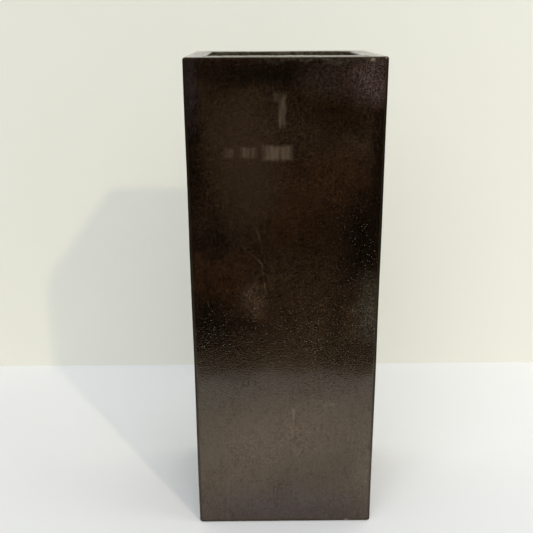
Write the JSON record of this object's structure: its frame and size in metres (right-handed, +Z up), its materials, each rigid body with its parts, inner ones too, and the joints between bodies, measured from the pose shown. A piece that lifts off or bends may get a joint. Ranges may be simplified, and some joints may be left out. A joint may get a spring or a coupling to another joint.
{
  "type": "concrete vase",
  "caption": "Tall square concrete floor vase, drawn in slightly towards the foot, with a thick open rim, dark lacquer, waterproofed inside, a plugged drain and rubber foot pads.",
  "frame": {"origin": "on the floor, under the middle of the vase", "axes": "+Z up along the vase, the front face towards -Y, the right face towards +X"},
  "size_m": [0.2, 0.2, 0.504],
  "materials": {
    "lacquered_concrete": "satin",
    "bare_concrete": "matte",
    "waterproof_coat": "satin",
    "plug_rubber": "matte",
    "pad_rubber": "matte"
  },
  "bodies": {
    "vase": {"wall_shell": "lacquered_concrete", "base_slab": "bare_concrete", "inner_membrane": "waterproof_coat", "foot_pad_front_left": "pad_rubber", "foot_pad_front_right": "pad_rubber", "foot_pad_rear_left": "pad_rubber", "foot_pad_rear_right": "pad_rubber"},
    "plug": {"drain_plug": "plug_rubber"}
  },
  "joints": [
    {"name": "plug_pull", "type": "slide", "parent": "vase", "child": "plug", "axis": [0, 0, 1], "range_m": [0, 0.04]}
  ]
}
